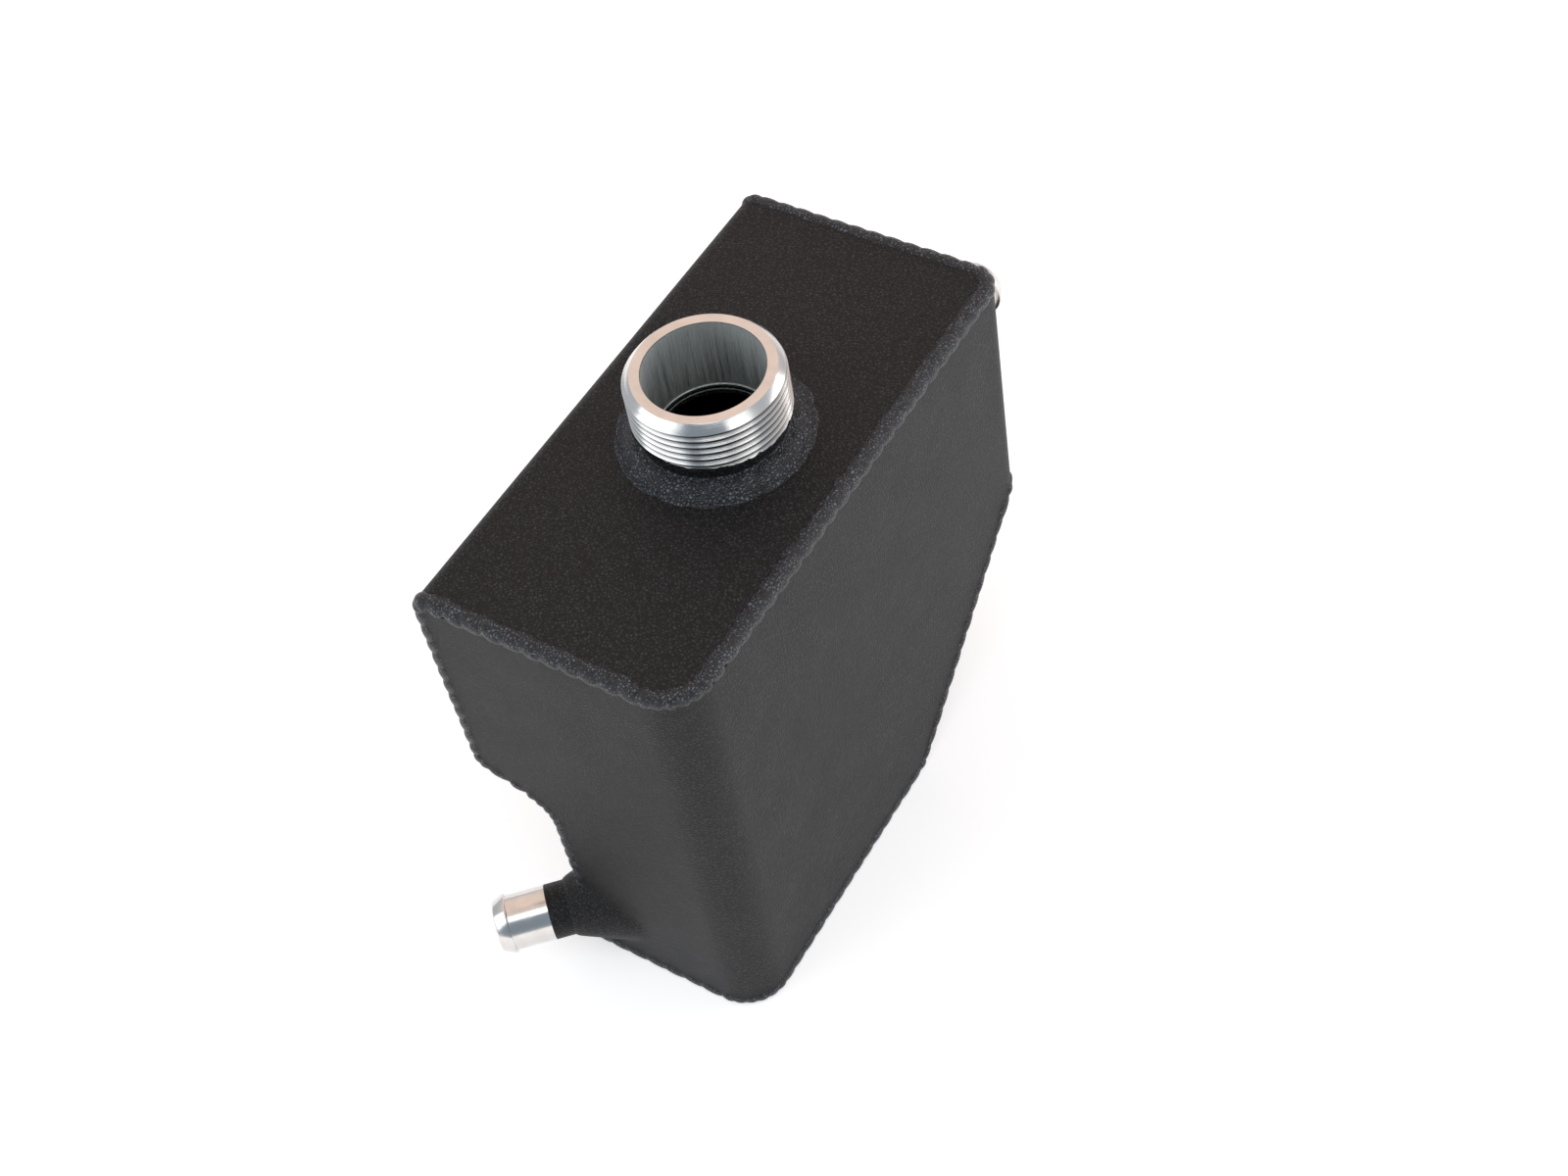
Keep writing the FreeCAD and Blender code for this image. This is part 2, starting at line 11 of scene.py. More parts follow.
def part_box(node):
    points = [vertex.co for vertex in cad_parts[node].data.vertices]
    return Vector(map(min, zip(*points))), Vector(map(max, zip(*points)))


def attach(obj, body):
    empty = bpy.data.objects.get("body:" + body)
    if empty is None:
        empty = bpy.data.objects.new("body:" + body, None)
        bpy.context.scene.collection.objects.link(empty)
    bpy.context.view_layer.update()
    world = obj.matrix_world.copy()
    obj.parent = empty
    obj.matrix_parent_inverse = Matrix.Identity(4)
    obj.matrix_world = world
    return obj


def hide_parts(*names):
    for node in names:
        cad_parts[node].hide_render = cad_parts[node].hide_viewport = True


bl_info = {
    "name": "Coolant Tank",
    "version": (1, 0, 0),
    "blender": (4, 5, 0),
    "location": "3D View > Sidebar > Tank",
    "description": "Welds, filler neck, hose barbs, finishes and stage of a coolant tank",
    "category": "Object",
}

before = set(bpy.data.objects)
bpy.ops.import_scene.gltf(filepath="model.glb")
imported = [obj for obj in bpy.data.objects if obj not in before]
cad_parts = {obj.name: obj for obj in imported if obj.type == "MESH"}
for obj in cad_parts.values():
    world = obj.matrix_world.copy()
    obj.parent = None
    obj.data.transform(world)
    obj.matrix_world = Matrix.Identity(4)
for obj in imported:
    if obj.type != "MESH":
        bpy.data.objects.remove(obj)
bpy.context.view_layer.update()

wrap_low, wrap_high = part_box("side_wrap")
shell_low, shell_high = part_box("top_left_shell")
_, neck_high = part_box("filler_neck")

MM = 0.001
UP = Vector((0, 0, 1))
DOWN = Vector((0, 0, -1))
RIGHT = Vector((1, 0, 0))
LEFT = Vector((-1, 0, 0))
FRONT = Vector((0, -1, 0))
REAR = Vector((0, 1, 0))
WELL_INSIDE = Vector((12, 0, 120)) * MM  # a point that every wall faces away from
SAME_SPOT = 0.01 * MM  # vertices nearer to each other than this are merged
ON_THE_CUT = 0.001 * MM  # a vertex this near to a cutting plane counts as on it
CLEAR_OF_FLOOR = 0.02 * MM  # the tank stands on its plate, and no bead reaches lower
ARC_STEPS = 16  # stretches in each bend of a seam


def srgb(code):
    """Linear colour of an sRGB hex value."""
    parts = [int(code[i:i + 2], 16) / 255 for i in (0, 2, 4)]
    return tuple(c / 12.92 if c <= 0.04045 else ((c + 0.055) / 1.055) ** 2.4 for c in parts)


def length(name, description, default):
    return FloatProperty(
        name=name, description=description, default=default, unit="LENGTH", precision=5
    )


def angle(name, description, degrees):
    return FloatProperty(
        name=name, description=description, default=math.radians(degrees), unit="ROTATION"
    )


def colour(name, description, code):
    return FloatVectorProperty(
        name=name, description=description, default=srgb(code), subtype="COLOR", min=0, max=1
    )


class FoldedBody(bpy.types.PropertyGroup):
    """Outside faces and bends of the folded sheets, which the weld beads follow"""

    left: length("Left", "Left face of the upper part", shell_low.x)
    right: length("Right", "Right face", wrap_high.x)
    front: length("Front", "Front face", wrap_low.y)
    top: length("Top", "Top face", shell_high.z)
    rear: length("Rear", "Rear face at the top", 96.3 * MM)
    lean: angle("Rear lean", "Lean of the rear face, outwards towards the bottom", 2.3)
    lower: length("Lower left", "Left face below the step", -21.7 * MM)
    shelf: length("Shelf", "Height of the shelf at the left face", 92.3 * MM)
    slope: angle("Shelf slope", "Fall of the shelf towards the lower wall", 21.4)
    foot: length("Ramp foot", "Where the flat bottom would meet the ramp", 19.7 * MM)
    ramp: angle("Ramp", "Rise of the ramp", 45)
    front_bend: length("Front bend", "Outside radius of the front bend", 15.5 * MM)
    rear_bend: length("Rear bend", "Outside radius of the rear bend", 9.5 * MM)
    top_bend: length("Top bend", "Outside radius of the fold between top and left", 6 * MM)
    shelf_bend: length("Shelf bend", "Outside radius of the fold above the shelf", 7 * MM)
    hollow_bend: length("Hollow bend", "Radius of the fold under the shelf", 13 * MM)
    floor_bend: length("Floor bend", "Outside radius of the fold at the ramp's foot", 7 * MM)


class WeldBeads(bpy.types.PropertyGroup):
    """Rippled beads in the open corners of the sheets"""

    depth: length("Depth", "How far a bead's centre lies under both faces", 2.5 * MM)
    crest: length("Crest", "Radius of a bead at the crest of its ripples", 3.25 * MM)
    pitch: length("Pitch", "Spacing of the ripples", 7 * MM)
    tail: length("Tail", "Half length of a ripple on the side already welded", 9 * MM)
    nose: length("Nose", "Half length of a ripple on the side being welded", 5.4 * MM)
    lean: angle("Lean", "How far each ripple leans along its seam", -9)
    squeeze: FloatProperty(
        name="Squeeze", description="Length of a ripple in a bend, as a share of the rest",
        default=0.5, min=0.3, max=1,
    )
    voxel: length("Melt", "Grain in which the ripples are melted together", 0.4 * MM)


class FillerNeck(bpy.types.PropertyGroup):
    """Threaded neck, with heights above the top face"""

    bore: length("Bore", "Radius of the bore", 19.05 * MM)
    rim: length("Rim", "Height of the rim", neck_high.z - shell_high.z)
    face: length("Rim face", "Outside radius of the flat rim face", 22.4 * MM)
    crest: length("Thread crest", "Radius of the thread's crests", 25 * MM)
    root: length("Thread root", "Radius of the thread's roots", 23.65 * MM)
    pitch: length("Thread pitch", "Rise of one turn", 2.6 * MM)
    chamfer: length("Chamfer", "Height where the rim's chamfer starts", 24.2 * MM)
    bare: length("Masking line", "Height where the coat ends and bare metal starts", 9.6 * MM)
    waist: length("Waist", "Radius of the coated foot", 23.5 * MM)
    film: length("Coat film", "Thickness of the coat", 0.12 * MM)
    start: angle("Thread start", "Where round the neck the thread begins", 217)
    hole: length("Hole", "Radius of the hole in the top sheet under the neck", 18.2 * MM)
    ripples: IntProperty(
        name="Ripples", description="Ripples in the weld round the foot", default=18
    )


class HoseBarbs(bpy.types.PropertyGroup):
    """Both hose barbs, measured out from the wall"""

    tube: length("Tube", "Outside radius of the tube", 9.525 * MM)
    bore: length("Bore", "Radius of the bore", 7.525 * MM)
    ridge: length("Ridge", "How far the ridge stands proud", 0.9 * MM)
    lead: length("Lead-in", "Length from the ridge's step to the tip", 4.7 * MM)
    taper: length("Taper", "How much smaller the tip is than the ridge", 1.8 * MM)
    front_reach: length("Front reach", "Front barb's tip from the corner", 30 * MM)
    front_inside: length("Front depth", "Front barb's inner end from the corner", 17 * MM)
    front_bare: length("Front masking line", "Where the front barb's coat ends", 11.5 * MM)
    front_height: length("Front height", "Height of the front barb", 22.5 * MM)
    rear_reach: length("Rear reach", "Rear barb's tip from the wall", 24.5 * MM)
    rear_inside: length("Rear depth", "Rear barb's inner end from the wall", 8 * MM)
    rear_bare: length("Rear masking line", "Where the rear barb's coat ends", 5.6 * MM)
    rear_height: length("Rear height", "Height of the rear barb", 142.3 * MM)
    rear_across: length("Rear across", "Rear barb's place across the tank", 24 * MM)


class Finishes(bpy.types.PropertyGroup):
    """Colours of the coat and the bare metal"""

    coat: colour("Coat", "Black wrinkle coat on the crests of its folds", "343437")
    # painted glint: the coat's crests on the welds are drawn much lighter, standing in for their
    # sparkle
    weld_crest_glint: colour("Coat on welds", "The coat's crests where it lies on a weld", "626975")
    # painted shade: the coat down between its folds is darkened for the shade that falls there
    painted_crease_shade: colour("Coat, deep", "The coat down between its folds", "0b0b0c")
    metal: colour("Aluminium", "Bare turned aluminium", "ecebe9")
    metal_dull: colour("Aluminium, dull", "Duller patches of the bare metal", "cfccc8")
    # painted shade: the thread's roots are darkened for the shade down in them
    groove: colour("Groove", "Coat dust down in the thread's roots", "1f1e1d")
    bore: colour("Bore", "Drawn aluminium in the bore", "dfe3e2")
    bore_dull: colour("Bore, dull", "Duller drawing lines in the bore", "b2b7b5")


class Stage(bpy.types.PropertyGroup):
    """Floor, lamps, surroundings and camera"""

    floor: colour("Floor", "Pale paper floor", "e6e6e6")
    walls: colour("Walls", "Pale walls of the room", "bcc1c8")
    ceiling: colour("Ceiling", "Warm ceiling over the rear of the room", "ffe7da")
    ceiling_way: FloatVectorProperty(
        name="Ceiling's way", description="Direction of the warm ceiling's middle",
        default=(-0.25, 0.6, 0.76), subtype="DIRECTION",
    )
    far_end: colour("Far end", "Dark end of the room behind the camera", "8a96a2")
    far_end_way: FloatVectorProperty(
        name="Far end's way", description="Direction of the dark end of the room",
        default=(0.3, -0.8, 0.52), subtype="DIRECTION",
    )
    camera_place: FloatVectorProperty(
        name="Camera", description="Where the camera stands", subtype="TRANSLATION",
        default=(0.29703, -0.34411, 0.66432),
    )
    camera_turn: FloatVectorProperty(
        name="Camera turn", description="How the camera is turned", subtype="EULER",
        default=[math.radians(a) for a in (38.2037, 6.7597, 30.8754)],
    )


# Work at the bench

def put_down():
    """Leave edit mode and select nothing."""
    if bpy.context.mode != "OBJECT":
        bpy.ops.object.mode_set(mode="OBJECT")
    bpy.ops.object.select_all(action="DESELECT")


def pick_up(*objects):
    put_down()
    for item in objects:
        item.select_set(True)
    bpy.context.view_layer.objects.active = objects[0]


def named(name):
    """Give the piece just added its name."""
    piece = bpy.context.object
    piece.name = name
    piece.data.name = name
    return piece


def select_where(piece, test):
    """In edit mode, select the vertices whose place passes a test."""
    bpy.ops.object.mode_set(mode="OBJECT")
    for vertex in piece.data.vertices:
        vertex.select = bool(test(vertex.co))
    for part in [*piece.data.edges, *piece.data.polygons]:
        part.select = all(piece.data.vertices[i].select for i in part.vertices[:])
    bpy.ops.object.mode_set(mode="EDIT")


def modify(piece, kind, **settings):
    """Add a modifier with its settings and apply it."""
    pick_up(piece)
    modifier = piece.modifiers.new(kind.title(), kind)
    for name, value in settings.items():
        setattr(modifier, name, value)
    bpy.ops.object.modifier_apply(modifier=modifier.name)


def copy_of(piece, name):
    twin = piece.copy()
    twin.data = piece.data.copy()
    twin.name = name
    twin.data.name = name
    bpy.context.scene.collection.objects.link(twin)
    return twin


def drop(piece):
    bpy.data.objects.remove(piece)


def settle(piece):
    """Put a piece's place, turn and size into its mesh."""
    pick_up(piece)
    bpy.ops.object.transform_apply(location=True, rotation=True, scale=True)


def joined(name, pieces):
    """Join pieces into one and put its place into its mesh."""
    pick_up(*pieces)
    if len(pieces) > 1:
        bpy.ops.object.join()
    piece = named(name)
    settle(piece)
    return piece


def ball(name, radius):
    put_down()
    bpy.ops.mesh.primitive_uv_sphere_add(
        segments=20, ring_count=12, radius=radius, location=(0, 0, 0)
    )
    return named(name)


def face_outwards(piece):
    pick_up(piece)
    bpy.ops.object.mode_set(mode="EDIT")
    bpy.ops.mesh.select_all(action="SELECT")
    bpy.ops.mesh.remove_doubles(threshold=SAME_SPOT)
    bpy.ops.mesh.normals_make_consistent(inside=False)
    put_down()


def smooth(piece, sharp):
    """Shade a piece smooth, apart from edges that turn by more than so many degrees."""
    pick_up(piece)
    bpy.ops.object.shade_smooth_by_angle(angle=math.radians(sharp))


def melt(piece, voxel, passes):
    """Melt what a piece is joined from into one skin."""
    modify(piece, "REMESH", mode="VOXEL", voxel_size=voxel, use_smooth_shade=True)
    modify(piece, "SMOOTH", factor=0.5, iterations=passes)


def turn_on_lathe(name, outline, sides):
    """Turn a closed (radius, height) outline about Z, one ring of edges at a time."""
    put_down()
    radius, height = outline[0]
    bpy.ops.mesh.primitive_circle_add(
        vertices=sides, radius=radius, fill_type="NOTHING", location=(0, 0, 0)
    )
    piece = named(name)
    bpy.ops.object.mode_set(mode="EDIT")
    bpy.ops.mesh.select_all(action="SELECT")
    bpy.ops.transform.translate(value=(0, 0, height))
    for (old_radius, old_height), (radius, height) in zip(outline, [*outline[1:], outline[0]]):
        bpy.ops.mesh.extrude_edges_move(
            TRANSFORM_OT_translate={"value": (0, 0, height - old_height)}
        )
        scale = radius / old_radius
        bpy.ops.transform.resize(value=(scale, scale, 1), center_override=(0, 0, height))
    put_down()
    face_outwards(piece)
    return piece


def trim(piece, spot, normal):
    """Cut away what lies beyond a plane and close the cut."""
    pick_up(piece)
    bpy.ops.object.mode_set(mode="EDIT")
    bpy.ops.mesh.select_all(action="SELECT")
    bpy.ops.mesh.bisect(
        plane_co=spot, plane_no=normal, use_fill=True, clear_outer=True, threshold=ON_THE_CUT
    )
    put_down()


def dress(piece, *finishes):
    """Give a piece its finishes in place of what it had."""
    piece.data.materials.clear()
    for skin in finishes:
        piece.data.materials.append(skin)


def finish_piece(piece, slot, *nodes):
    """Let a piece stand for the solids that it was modelled after."""
    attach(piece, "root")
    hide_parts(*nodes)


# Finishes

def put(tree, kind, links=None, **settings):
    """Add a node with its settings, and link or set its inputs."""
    node = tree.nodes.new(kind)
    for name, value in settings.items():
        setattr(node, name, value)
    for name, value in (links or {}).items():
        if isinstance(value, bpy.types.NodeSocket):
            tree.links.new(value, node.inputs[name])
        else:
            node.inputs[name].default_value = value
    return node


def noise(tree, place, scale, detail):
    return put(tree, "ShaderNodeTexNoise", {
        "Vector": place, "Scale": scale, "Detail": detail,
    }).outputs["Fac"]


def maths(tree, operation, *values):
    node = put(tree, "ShaderNodeMath", dict(enumerate(values)), operation=operation)
    return node.outputs["Value"]


def to_range(tree, value, start, end, low=0.0, high=1.0, **settings):
    """Turn what runs from start to end into what runs from low to high."""
    return put(tree, "ShaderNodeMapRange", {
        "Value": value, "From Min": start, "From Max": end, "To Min": low, "To Max": high,
    }, **settings).outputs["Result"]


def blend(tree, share, first, second):
    """The first colour where the share is 0, and the second where it is 1."""
    return put(tree, "ShaderNodeMix", {
        "Factor": share, "A": first, "B": second,
    }, data_type="RGBA").outputs["Result"]


def bump(tree, height, distance, strength=1.0, **more):
    return put(tree, "ShaderNodeBump", {
        "Height": height, "Strength": strength, "Distance": distance, **more,
    }).outputs["Normal"]


def new_material(name):
    """An empty material, its node tree, and each point's place on the piece."""
    material = bpy.data.materials.new(name)
    material.use_nodes = True
    tree = material.node_tree
    tree.nodes.clear()
    return material, tree, put(tree, "ShaderNodeTexCoord").outputs["Object"]


def close_material(tree, tint, roughness, normal, **more):
    """End a material's tree in its shader and its output."""
    shader = put(tree, "ShaderNodeBsdfPrincipled", {
        "Base Color": tint, "Roughness": roughness, "Normal": normal, **more,
    })
    put(tree, "ShaderNodeOutputMaterial", {"Surface": shader.outputs["BSDF"]})


def wrinkle_coat(name, crest, crease, grain, relief, matt, index):
    """Black powder coat baked to a fine wrinkle, like grained leather.

    The folds' crests catch the light and the creases between them stay dark. Crests
    smaller than a pixel would lose their sparkle, so a painted highlight lightens their
    tone above the height where a crease ends, and painted shade darkens the creases.
    The cured film pools a little, so its gloss varies softly over a sheet.
    """
    looks = bpy.context.scene.finishes
    material, tree, place = new_material(name)
    # real folds are 0.3 to 0.8 mm across; they are drawn up to 1.1 mm so that they show
    drift = put(tree, "ShaderNodeTexNoise", {"Vector": place, "Scale": 0.6 / grain, "Detail": 2})
    # a fold wanders by up to one and a half times its own width
    wander = (1.5 * grain,) * 3
    bent = put(tree, "ShaderNodeVectorMath", {0: drift.outputs["Color"], 1: wander},
               operation="MULTIPLY")
    warped = put(tree, "ShaderNodeVectorMath", {0: place, 1: bent.outputs["Vector"]})
    cells = put(tree, "ShaderNodeTexVoronoi", {
        "Vector": warped.outputs["Vector"], "Scale": 1 / grain,
    }, feature="DISTANCE_TO_EDGE")
    # a fold rises from its crease and is level on top, with a finer grain all over it
    level, share_of_fine = 0.4, 0.6
    folds = maths(tree, "MINIMUM", cells.outputs["Distance"], level)
    fine = noise(tree, place, 1.6 / grain, 3)
    height = maths(tree, "MULTIPLY_ADD", fine, share_of_fine, folds)
    wrinkles = bump(tree, height, relief)
    # welding heat leaves a sheet a few hundredths of a millimetre out of flat, in swells
    # about 45 mm long
    sway = noise(tree, place, 22, 1)
    surface = bump(tree, sway, 0.12 * MM, Normal=wrinkles)
    flank = 0.22
    # painted shade gives the creases the deep tone, and the crests' lighter tone is partly a
    # painted highlight, most of all on the welds
    crests = to_range(tree, height, crease, crease + flank)
    tint = blend(tree, crests, (*looks.painted_crease_shade, 1), (*crest, 1))
    # the film's pools are about 17 mm across
    pools = noise(tree, place, 60, 4)
    spread = 0.02
    gloss = to_range(tree, pools, 0.3, 0.7, matt + spread, matt - spread)
    close_material(tree, tint, gloss, surface, IOR=index)
    return material


def turned_aluminium(name, spot, turn, groove=0, shoulder=0):
    """Aluminium turned on a lathe and left bare.

    The tool leaves fine rings, which stretch highlights across them, handling leaves
    duller patches, and painted shade darkens what lies inside the groove's radius below
    the shoulder's height.
    """
    looks = bpy.context.scene.finishes
    material, tree, place = new_material(name)
    own = put(tree, "ShaderNodeMapping", {
        "Vector": place, "Location": spot, "Rotation": turn,
    }, vector_type="TEXTURE").outputs["Vector"]
    parts = put(tree, "ShaderNodeSeparateXYZ", {"Vector": own}).outputs
    flat = put(tree, "ShaderNodeCombineXYZ", {"X": parts["X"], "Y": parts["Y"]})
    radius = put(tree, "ShaderNodeVectorMath", {0: flat.outputs["Vector"]},
                 operation="LENGTH").outputs["Value"]
    rings = put(tree, "ShaderNodeCombineXYZ", {"X": radius, "Y": parts["Z"]})
    # rings are drawn 0.3 mm apart where the real feed is nearer 0.1 mm, too fine to show
    marks = noise(tree, rings.outputs["Vector"], 1 / (0.3 * MM), 3)
    # handling marks are about 7 mm across
    patches = noise(tree, own, 140, 4)
    surface = bump(tree, marks, 0.04 * MM, strength=0.6)
    tint = blend(tree, patches, (*looks.metal, 1), (*looks.metal_dull, 1))
    # the painted shade is darkest at the bottom of a groove and thins out up its flanks
    thick, gone = groove + 0.15 * MM, groove + 1.1 * MM
    inside = to_range(tree, radius, thick, gone, 1.0, 0.0)
    below = maths(tree, "LESS_THAN", parts["Z"], shoulder)
    groove_shade_share = maths(tree, "MULTIPLY", inside, below)
    groove_shaded = blend(tree, groove_shade_share, tint, (*looks.groove, 1))
    gloss = to_range(tree, patches, 0.35, 0.7, 0.14, 0.26)
    close_material(tree, groove_shaded, gloss, surface, Metallic=1.0)
    return material


def drawn_bore(name):
    """The bore of drawn aluminium tube.

    Drawing leaves lines along the tube, which show as upright streaks, some dull.
    """
    looks = bpy.context.scene.finishes
    material, tree, place = new_material(name)
    parts = put(tree, "ShaderNodeSeparateXYZ", {"Vector": place}).outputs
    # lines are drawn about 0.9 mm apart, coarser than the real ones, so that they show,
    # and run 25 times as far along the tube as across it
    squeezed = maths(tree, "MULTIPLY", parts["Z"], 0.04)
    along = put(tree, "ShaderNodeCombineXYZ", {"X": parts["X"], "Y": parts["Y"], "Z": squeezed})
    streaks = noise(tree, along.outputs["Vector"], 1100, 3)
    surface = bump(tree, streaks, 0.06 * MM, strength=0.7)
    tint = blend(tree, streaks, (*looks.bore, 1), (*looks.bore_dull, 1))
    gloss = to_range(tree, streaks, 0.3, 0.7, 0.5, 0.75)
    close_material(tree, tint, gloss, surface, Metallic=1.0)
    return material


def finish_of(name, make, **details):
    """The finish of that name, made the first time that it is asked for."""
    return bpy.data.materials.get(name) or make(name, **details)


def sheet_coat():
    return finish_of(
        "wrinkle_coat_on_sheet", wrinkle_coat, crest=bpy.context.scene.finishes.coat,
        crease=0.42, grain=1.1 * MM, relief=0.35 * MM, matt=0.52, index=1.36,
    )


def weld_coat():
    return finish_of(
        # the crests here carry a painted glint
        "wrinkle_coat_on_weld", wrinkle_coat, crest=bpy.context.scene.finishes.weld_crest_glint,
        crease=0.45, grain=1 * MM, relief=0.6 * MM, matt=0.32, index=1.5,
    )


def neck_metal():
    neck = bpy.context.scene.filler_neck
    top = bpy.context.scene.folded_body.top
    return finish_of(
        "turned_neck_aluminium", turned_aluminium, spot=(0, 0, top), turn=(0, 0, 0),
        groove=neck.root, shoulder=neck.chamfer,
    )


def bore_metal():
    return finish_of("drawn_bore_aluminium", drawn_bore)


# Seams, as they run between the sheets

def seam(corners):
    """Points of each straight and each bend of a seam, in turn.

    The seam is given as its sharp corners, each with the radius that it is bent to, so
    its straights have even numbers and its bends odd ones.
    """
    runs = []
    start = corners[0][0]
    for (before, _), (here, radius), (after, _) in zip(corners, corners[1:], corners[2:]):
        incoming = (before - here).normalized()
        outgoing = (after - here).normalized()
        half = incoming.angle(outgoing) / 2
        first = here + incoming * (radius / math.tan(half))
        last = here + outgoing * (radius / math.tan(half))
        centre = here + (incoming + outgoing).normalized() * (radius / math.sin(half))
        arm = first - centre
        axis = arm.cross(last - centre)
        turn = arm.angle(last - centre)
        runs.append([start, first])
        runs.append([
            centre + Matrix.Rotation(turn * k / ARC_STEPS, 3, axis) @ arm
            for k in range(ARC_STEPS + 1)
        ])
        start = last
    runs.append([start, corners[-1][0]])
    return runs


def places_along(points, pitch):
    """Evenly spaced places along a run, each with the run's direction there."""
    lengths = [(b - a).length for a, b in zip(points, points[1:])]
    count = max(1, round(sum(lengths) / pitch))
    step = sum(lengths) / count
    places = []
    passed = 0
    for a, b, stretch in zip(points, points[1:], lengths):
        while len(places) < count and step * (len(places) + 0.5) <= passed + stretch:
            share = (step * (len(places) + 0.5) - passed) / stretch
            places.append((a.lerp(b, share), (b - a).normalized()))
        passed += stretch
    return places


def outwards(spot, along, face):
    """Direction out of the corner between a face and the face beside it."""
    beside = face.cross(along).normalized()
    if beside.dot(spot - WELL_INSIDE) < 0:
        beside = -beside
    return (face + beside).normalized()


def bead_runs():
    """The runs of each bead, as the points of a stretch with the face that it edges.

    A bead's centre runs at the same depth under both of the faces that meet there.
    """
    body = bpy.context.scene.folded_body
    barb = bpy.context.scene.hose_barbs
    depth = bpy.context.scene.weld_beads.depth
    left = body.left + depth
    lower = body.lower + depth
    right = body.right - depth
    front = body.front + depth
    top = body.top - depth
    fall = math.tan(body.slope)
    lean = math.tan(body.lean)
    rise = math.tan(body.ramp)

    def shelf(across):
        return body.shelf + depth / math.cos(body.slope) - (across - body.left) * fall

    def rear(height):
        return body.rear + (body.top - height) * lean - depth / math.cos(body.lean)

    # the ramp's line, from where it leaves the flat bottom's to where it meets the rear's
    lift = depth / math.cos(body.ramp)
    foot = body.foot - (lift - depth) / rise
    head = (rear(0) + lean * (rise * body.foot - lift)) / (1 + lean * rise)
    head_height = (head - body.foot) * rise + lift
    # the bead across the ramp's head ends just short of the lower left wall's line
    inner = lower + 0.8 * MM

    shell = seam([
        (Vector((lower, front, barb.front_height + barb.tube)), 0),
        (Vector((lower, front, shelf(lower))), body.hollow_bend + depth),
        (Vector((left, front, shelf(left))), body.shelf_bend - depth),
        (Vector((left, front, top)), body.top_bend - depth),
        (Vector((right, front, top)), body.front_bend - depth),
        (Vector((right, rear(top), top)), body.rear_bend - depth),
        (Vector((left, rear(top), top)), body.top_bend - depth),
        (Vector((left, rear(shelf(left)), shelf(left))), body.shelf_bend - depth),
        (Vector((lower, rear(shelf(lower)), shelf(lower))), body.hollow_bend + depth),
        (Vector((lower, rear(0), 0)), 0),
    ])
    # the ramp cuts the rear bend at a slant, and the oval there is taken as a mean circle
    stretch = (1 + 1 / math.cos(body.ramp)) / 2
    floor = seam([
        (Vector((lower, front, depth)), 0),
        (Vector((right, front, depth)), body.front_bend - depth),
        (Vector((right, foot, depth)), body.floor_bend - depth),
        (Vector((right, head, head_height)), (body.rear_bend - depth) * stretch),
        (Vector((inner, head, head_height)), 0),
    ])
    underside = seam([
        (Vector((lower, front, depth)), 0),
        (Vector((lower, foot, depth)), body.floor_bend - depth),
        (Vector((lower, head, head_height)), 0),
    ])
    below_barb = [
        Vector((lower, front, barb.front_height - barb.tube)),
        Vector((lower, front, depth)),
    ]
    under_ramp = Vector((0, math.sin(body.ramp), -math.cos(body.ramp)))
    hollow = [point for point in shell[15] if point.z > head_height]
    return {
        "front_lower_weld": [(shell[0], FRONT)],
        "front_shelf_weld": [(run, FRONT) for run in shell[1:4]],
        "front_left_weld": [(shell[4], FRONT)],
        "top_front_weld": [(run, FRONT) for run in shell[5:7]],
        "top_right_weld": [(run, UP) for run in shell[7:10]],
        "top_rear_weld": [(run, REAR) for run in shell[10:12]],
        "rear_left_weld": [(shell[12], REAR)],
        "rear_shelf_weld": [(shell[13], REAR), (shell[14], REAR), (hollow, REAR)],
        "ramp_right_weld": [(floor[4], RIGHT)],
        "ramp_left_weld": [(underside[2], LEFT)],
        "ramp_rear_weld": [(floor[5], under_ramp), (floor[6], under_ramp)],
        "bottom_front_weld": [(below_barb, FRONT), (floor[0], FRONT)],
        "bottom_right_weld": [(floor[1], DOWN), (floor[2], DOWN), (floor[3], RIGHT)],
        "bottom_left_weld": [(underside[0], DOWN), (underside[1], LEFT)],
    }


def weld_scale(beads):
    """One ripple of a bead: rounded, longer behind than in front, centred on its seam."""
    scale = ball("weld_scale", beads.crest)
    for test, reach in ((lambda co: co.x < 0, beads.tail), (lambda co: co.x > 0, beads.nose)):
        select_where(scale, test)
        bpy.ops.transform.resize(value=(reach / beads.crest, 1, 1), center_override=(0, 0, 0))
    # drawn long, both ends come out pointed, so they are eased
    pointed = beads.nose * 0.6
    select_where(scale, lambda co: abs(co.x) > pointed)
    bpy.ops.mesh.vertices_smooth(factor=0.3, repeat=1)
    put_down()
    return scale


def in_line(spot, along, outward):
    """Place with X along a seam and Z out of the corner."""
    across = outward.cross(along).normalized()
    outward = along.cross(across)
    turn = Matrix((along, across, outward)).transposed().to_4x4()
    return Matrix.Translation(spot) @ turn


def barb_seats():
    """Where each barb leaves the tank, and which way it points."""
    body = bpy.context.scene.folded_body
    barb = bpy.context.scene.hose_barbs
    rear_wall = body.rear + (body.top - barb.rear_height) * math.tan(body.lean)
    return {
        "front": (
            Vector((body.lower, body.front, barb.front_height)), (FRONT + LEFT).normalized()
        ),
        "rear": (Vector((barb.rear_across, rear_wall, barb.rear_height)), REAR),
    }


class TANK_OT_coat_sheets(bpy.types.Operator):
    """Give the folded sheets their black wrinkle coat"""

    bl_idname = "tank.coat_sheets"
    bl_label = "Coat the Sheets"

    def execute(self, context):
        for name in ("side_wrap", "top_left_shell", "bottom_plate"):
            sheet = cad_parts[name]
            dress(sheet, sheet_coat())
        return {"FINISHED"}


